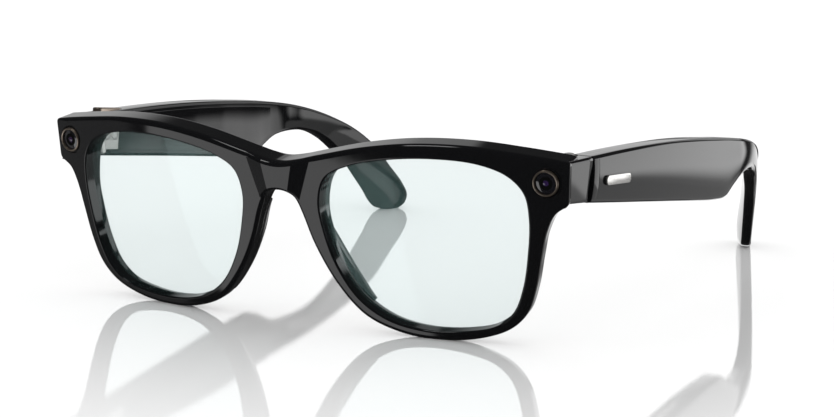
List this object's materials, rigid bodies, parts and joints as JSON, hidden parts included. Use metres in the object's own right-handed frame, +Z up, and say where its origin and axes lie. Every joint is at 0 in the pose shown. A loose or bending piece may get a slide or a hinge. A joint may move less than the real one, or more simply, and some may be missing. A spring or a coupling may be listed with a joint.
{
  "type": "smart glasses",
  "caption": "Folding smart glasses with thick gloss black rims, clear lenses, round windows in the end pieces, hollow temples holding the electronics, and a capture button",
  "frame": {"origin": "on the ground, at the middle of the footprint of the open glasses", "axes": "+X to the wearer's left, +Y rearward along the temples, +Z up; the glasses stand open with both rims and both temple tips on z = 0"},
  "size_m": [0.1416, 0.1526, 0.0457],
  "materials": {
    "gloss_black": "polished black injection-moulded plastic",
    "clear_lens": "clear polycarbonate with a faint coating",
    "bronze_metal": "bronze-grey anodised, satin",
    "bright_steel": "bright stainless steel",
    "gold_contact": "gold plated",
    "dark_glass": "black polished cover glass",
    "dark_plastic": "satin dark plastic",
    "circuit_board": "green solder mask",
    "flex_film": "amber polyimide film",
    "battery_foil": "silver laminate pouch"
  },
  "bodies": {
    "front": {"brow_cover": "gloss_black", "brow_flex_cable": "flex_film", "camera_board": "circuit_board", "camera_optics": "dark_plastic", "camera_ring": "bronze_metal", "camera_window": "dark_glass", "charge_contact_carrier": "dark_plastic", "front_frame": "gloss_black", "left_charge_contact": "gold_contact", "left_front_hinge_leaf": "bright_steel", "left_front_leaf_screw": "bright_steel", "left_hinge_screw": "bright_steel", "left_lens": "clear_lens", "left_nose_pad": "gloss_black", "light_board": "circuit_board", "light_emitter": "dark_plastic", "light_ring": "bronze_metal", "light_window": "dark_glass", "right_charge_contact": "gold_contact", "right_front_hinge_leaf": "bright_steel", "right_front_leaf_screw": "bright_steel", "right_hinge_screw": "bright_steel", "right_lens": "clear_lens", "right_nose_pad": "gloss_black"},
    "left_temple": {"left_battery": "battery_foil", "left_microphone": "gold_contact", "left_speaker": "dark_plastic", "left_speaker_mesh": "bright_steel", "left_switch_board": "circuit_board", "left_temple_badge": "bright_steel", "left_temple_cover": "gloss_black", "left_temple_hinge_leaf": "bright_steel", "left_temple_leaf_screw_1": "bright_steel", "left_temple_leaf_screw_2": "bright_steel", "left_temple_shell": "gloss_black"},
    "power_slider": {"left_power_slider": "dark_plastic"},
    "right_temple": {"right_button_switch": "dark_plastic", "right_main_board": "circuit_board", "right_microphone": "gold_contact", "right_processor_shield": "bright_steel", "right_speaker": "dark_plastic", "right_speaker_mesh": "bright_steel", "right_temple_badge": "bright_steel", "right_temple_cover": "gloss_black", "right_temple_hinge_leaf": "bright_steel", "right_temple_leaf_screw_1": "bright_steel", "right_temple_leaf_screw_2": "bright_steel", "right_temple_shell": "gloss_black", "right_touch_sensor": "flex_film"},
    "capture_button": {"right_capture_button": "bronze_metal"}
  },
  "joints": [
    {"name": "left_temple_fold", "type": "hinge", "parent": "front", "child": "left_temple", "pos_m": [0.0639, -0.05835, 0.0376], "axis": [0, -0.1616, 0.9869], "range_deg": [0, 90]},
    {"name": "right_temple_fold", "type": "hinge", "parent": "front", "child": "right_temple", "pos_m": [-0.0639, -0.05835, 0.0376], "axis": [0, 0.1616, -0.9869], "range_deg": [0, 78]},
    {"name": "power_slide", "type": "slide", "parent": "left_temple", "child": "power_slider", "axis": [0, 0.996, -0.0888], "range_m": [0, 0.002]},
    {"name": "capture_press", "type": "slide", "parent": "right_temple", "child": "capture_button", "axis": [0, -0.1219, -0.9925], "range_m": [0, 0.0004]}
  ]
}
